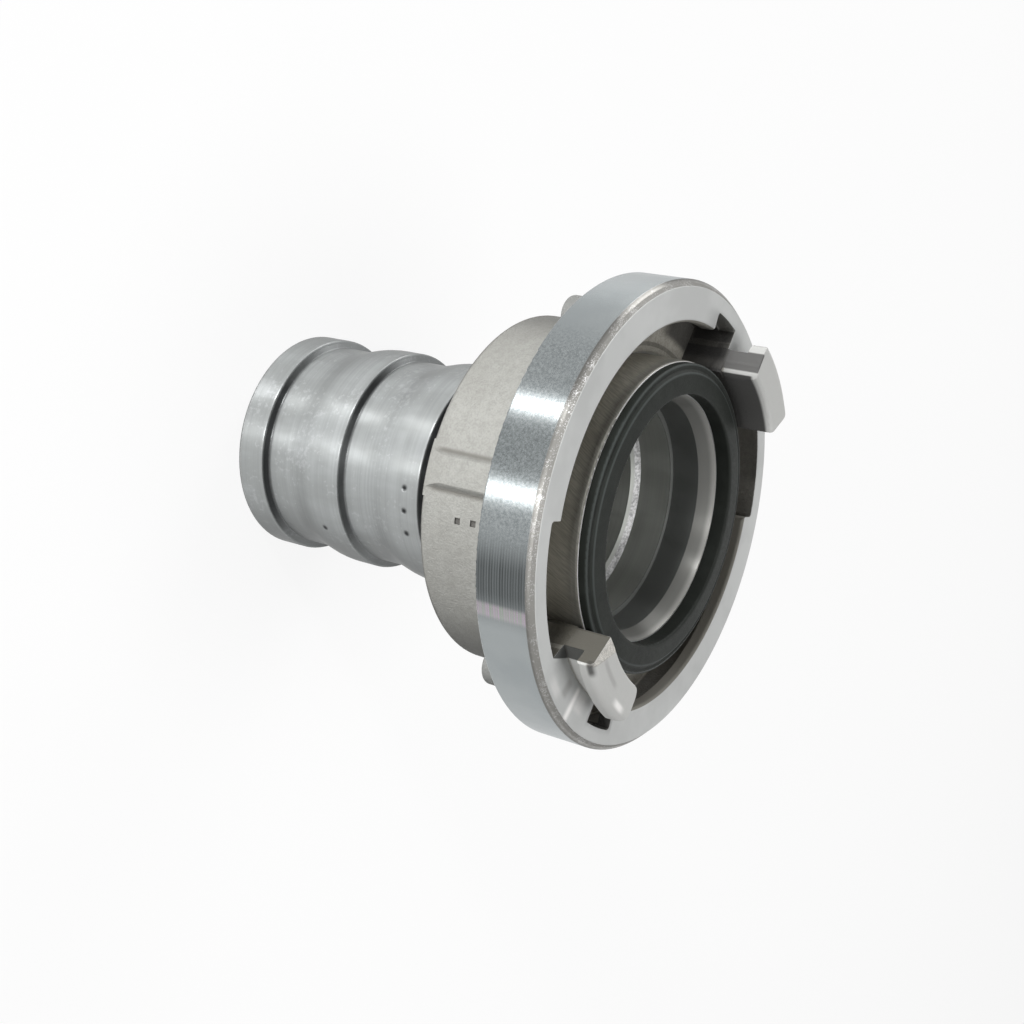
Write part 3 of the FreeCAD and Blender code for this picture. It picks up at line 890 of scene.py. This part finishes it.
@dataclass
class Studio:
    """Floor, lamps, world and camera.

    The camera is rolled: in the photograph the coupling lies with its axis nearly level, and here it stands
    on its hose end.
    """

    camera_place: tuple[float, float, float] = (0.15707, -0.24561, 0.23927)
    camera_right: tuple[float, float, float] = (-0.46239, 0.31666, 0.82821)
    camera_down: tuple[float, float, float] = (0.76731, 0.61098, 0.19478)
    camera_forward: tuple[float, float, float] = (-0.44433, 0.72556, -0.52549)
    lens_mm: float = 55.51
    sensor_mm: float = 36.0
    floor_half: float = 3.0
    strip_distance: float = 0.9
    room_light: float = 0.12

    def camera(self) -> None:
        """Sets the camera at the photograph's viewing angle."""
        data = bpy.data.cameras.new("camera")
        data.lens = self.lens_mm
        data.sensor_width = self.sensor_mm
        data.clip_start = 0.01
        data.clip_end = 20.0
        camera = bpy.data.objects.new("camera", data)
        bpy.context.scene.collection.objects.link(camera)
        columns = (Vector(self.camera_right), -Vector(self.camera_down), -Vector(self.camera_forward))
        turned = Matrix(columns).transposed().to_4x4()
        camera.rotation_euler = turned.to_euler()
        camera.location = self.camera_place
        bpy.context.scene.camera = camera

    def lamp(self, name: str, place: Sequence[float], size: tuple[float, float], watts: float) -> None:
        """Adds a flat lamp that faces the ring, unseen by the camera itself.

        Args:
            name: The lamp's name.
            place: Where its middle stands.
            size: Its width and height.
            watts: Its power.
        """
        data = bpy.data.lights.new(name, "AREA")
        data.shape = "RECTANGLE"
        data.size, data.size_y = size
        data.energy = watts
        lamp = bpy.data.objects.new(name, data)
        bpy.context.scene.collection.objects.link(lamp)
        lamp.location = place
        aim = Vector((0.0, 0.0, 0.07)) - Vector(place)
        lamp.rotation_euler = aim.to_track_quat("-Z", "Y").to_euler()
        lamp.visible_camera = False

    def strip(self, name: str, azimuth: float, watts: float) -> None:
        """Adds an upright strip lamp, which the turned rim shows as a narrow white band.

        Args:
            name: The lamp's name.
            azimuth: Its direction from the axis, in degrees.
            watts: Its power.
        """
        turn = math.radians(azimuth)
        place = (self.strip_distance * math.cos(turn), self.strip_distance * math.sin(turn), 0.13)
        self.lamp(name, place, (0.092, 0.24), watts)

    def lamps(self) -> None:
        """Adds the soft lamps."""
        self.strip("strip_left", -92.7, 5.3)
        self.strip("strip_right", -54.3, 4.7)
        self.lamp("side", (-1.05, -0.20, 0.45), (0.5, 0.6), 4.2)
        self.lamp("above", (0.1, 0.0, 1.2), (0.8, 0.8), 8.0)

    @staticmethod
    def seen(wiring: Wiring) -> Value:
        """Masks the rays by which the camera sees a surface, straight or in a reflection."""
        path = wiring.node("ShaderNodeLightPath")
        mask = wiring.math("MAXIMUM", path.outputs["Is Camera Ray"], path.outputs["Is Glossy Ray"])
        return wiring.math("MAXIMUM", mask, path.outputs["Is Transmission Ray"])

    def floor(self) -> None:
        """Adds the pale floor, white to the camera and in reflections, with the coupling's shadow kept."""
        bpy.ops.object.select_all(action="DESELECT")
        bpy.ops.mesh.primitive_plane_add(size=2 * self.floor_half, location=(0, 0, 0))
        floor = bpy.context.object
        floor.name = "floor"
        material = bpy.data.materials.new("pale_floor")
        material.use_nodes = True
        tree = material.node_tree
        tree.nodes.clear()
        wiring = Wiring(tree)
        paint = wiring.node("ShaderNodeBsdfDiffuse")
        shade = wiring.span(self.seen(wiring), 0.0, 1.0, 0.34, 0.98)
        wiring.feed(paint.inputs["Color"], shade)
        glow = wiring.node("ShaderNodeEmission")
        both = wiring.node("ShaderNodeMixShader")
        wiring.feed(both.inputs[0], wiring.math("MULTIPLY", self.seen(wiring), 0.88))
        wiring.feed(both.inputs[1], paint.outputs[0])
        wiring.feed(both.inputs[2], glow.outputs[0])
        output = wiring.node("ShaderNodeOutputMaterial")
        wiring.feed(output.inputs["Surface"], both.outputs[0])
        floor.data.materials.append(material)

    def world(self) -> None:
        """Sets an even room, dim as a light, but white to the camera and in reflections."""
        world = bpy.data.worlds.new("pale_room")
        world.use_nodes = True
        back = world.node_tree.nodes["Background"]
        back.inputs["Color"].default_value = grey(1.0)
        wiring = Wiring(world.node_tree)
        wiring.feed(back.inputs["Strength"], wiring.span(self.seen(wiring), 0.0, 1.0, self.room_light, 1.0))
        bpy.context.scene.world = world

    def build(self) -> None:
        """Sets up the whole studio."""
        self.world()
        self.floor()
        self.lamps()
        self.camera()
        bpy.context.scene.view_settings.view_transform = "Standard"


def dress(node: Node, material: bpy.types.Material) -> None:
    """Gives a carried-over piece its finish.

    Args:
        node: The piece.
        material: Its material.
    """
    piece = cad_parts[node.value]
    piece.data.materials.clear()
    piece.data.materials.append(material)
    LOG.info("%s dressed in %s", node.value, material.name)


def main() -> None:
    """Dresses the coupling and sets the studio round it."""
    logging.basicConfig(level=logging.INFO)
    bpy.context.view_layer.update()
    EffectMaker().make_all()
    dress(Node.HOSE_TAIL, TurnedFinish("turned_aluminium").material())
    dress(Node.CLAW_RING, CastingFinish("cast_aluminium").material())
    dress(Node.SEAL_RING, RubberFinish("seal_rubber").material())
    dress(Node.RETAINING_RING, WireFinish("spring_wire").material())
    Studio().build()


if __name__ == "__main__":
    main()
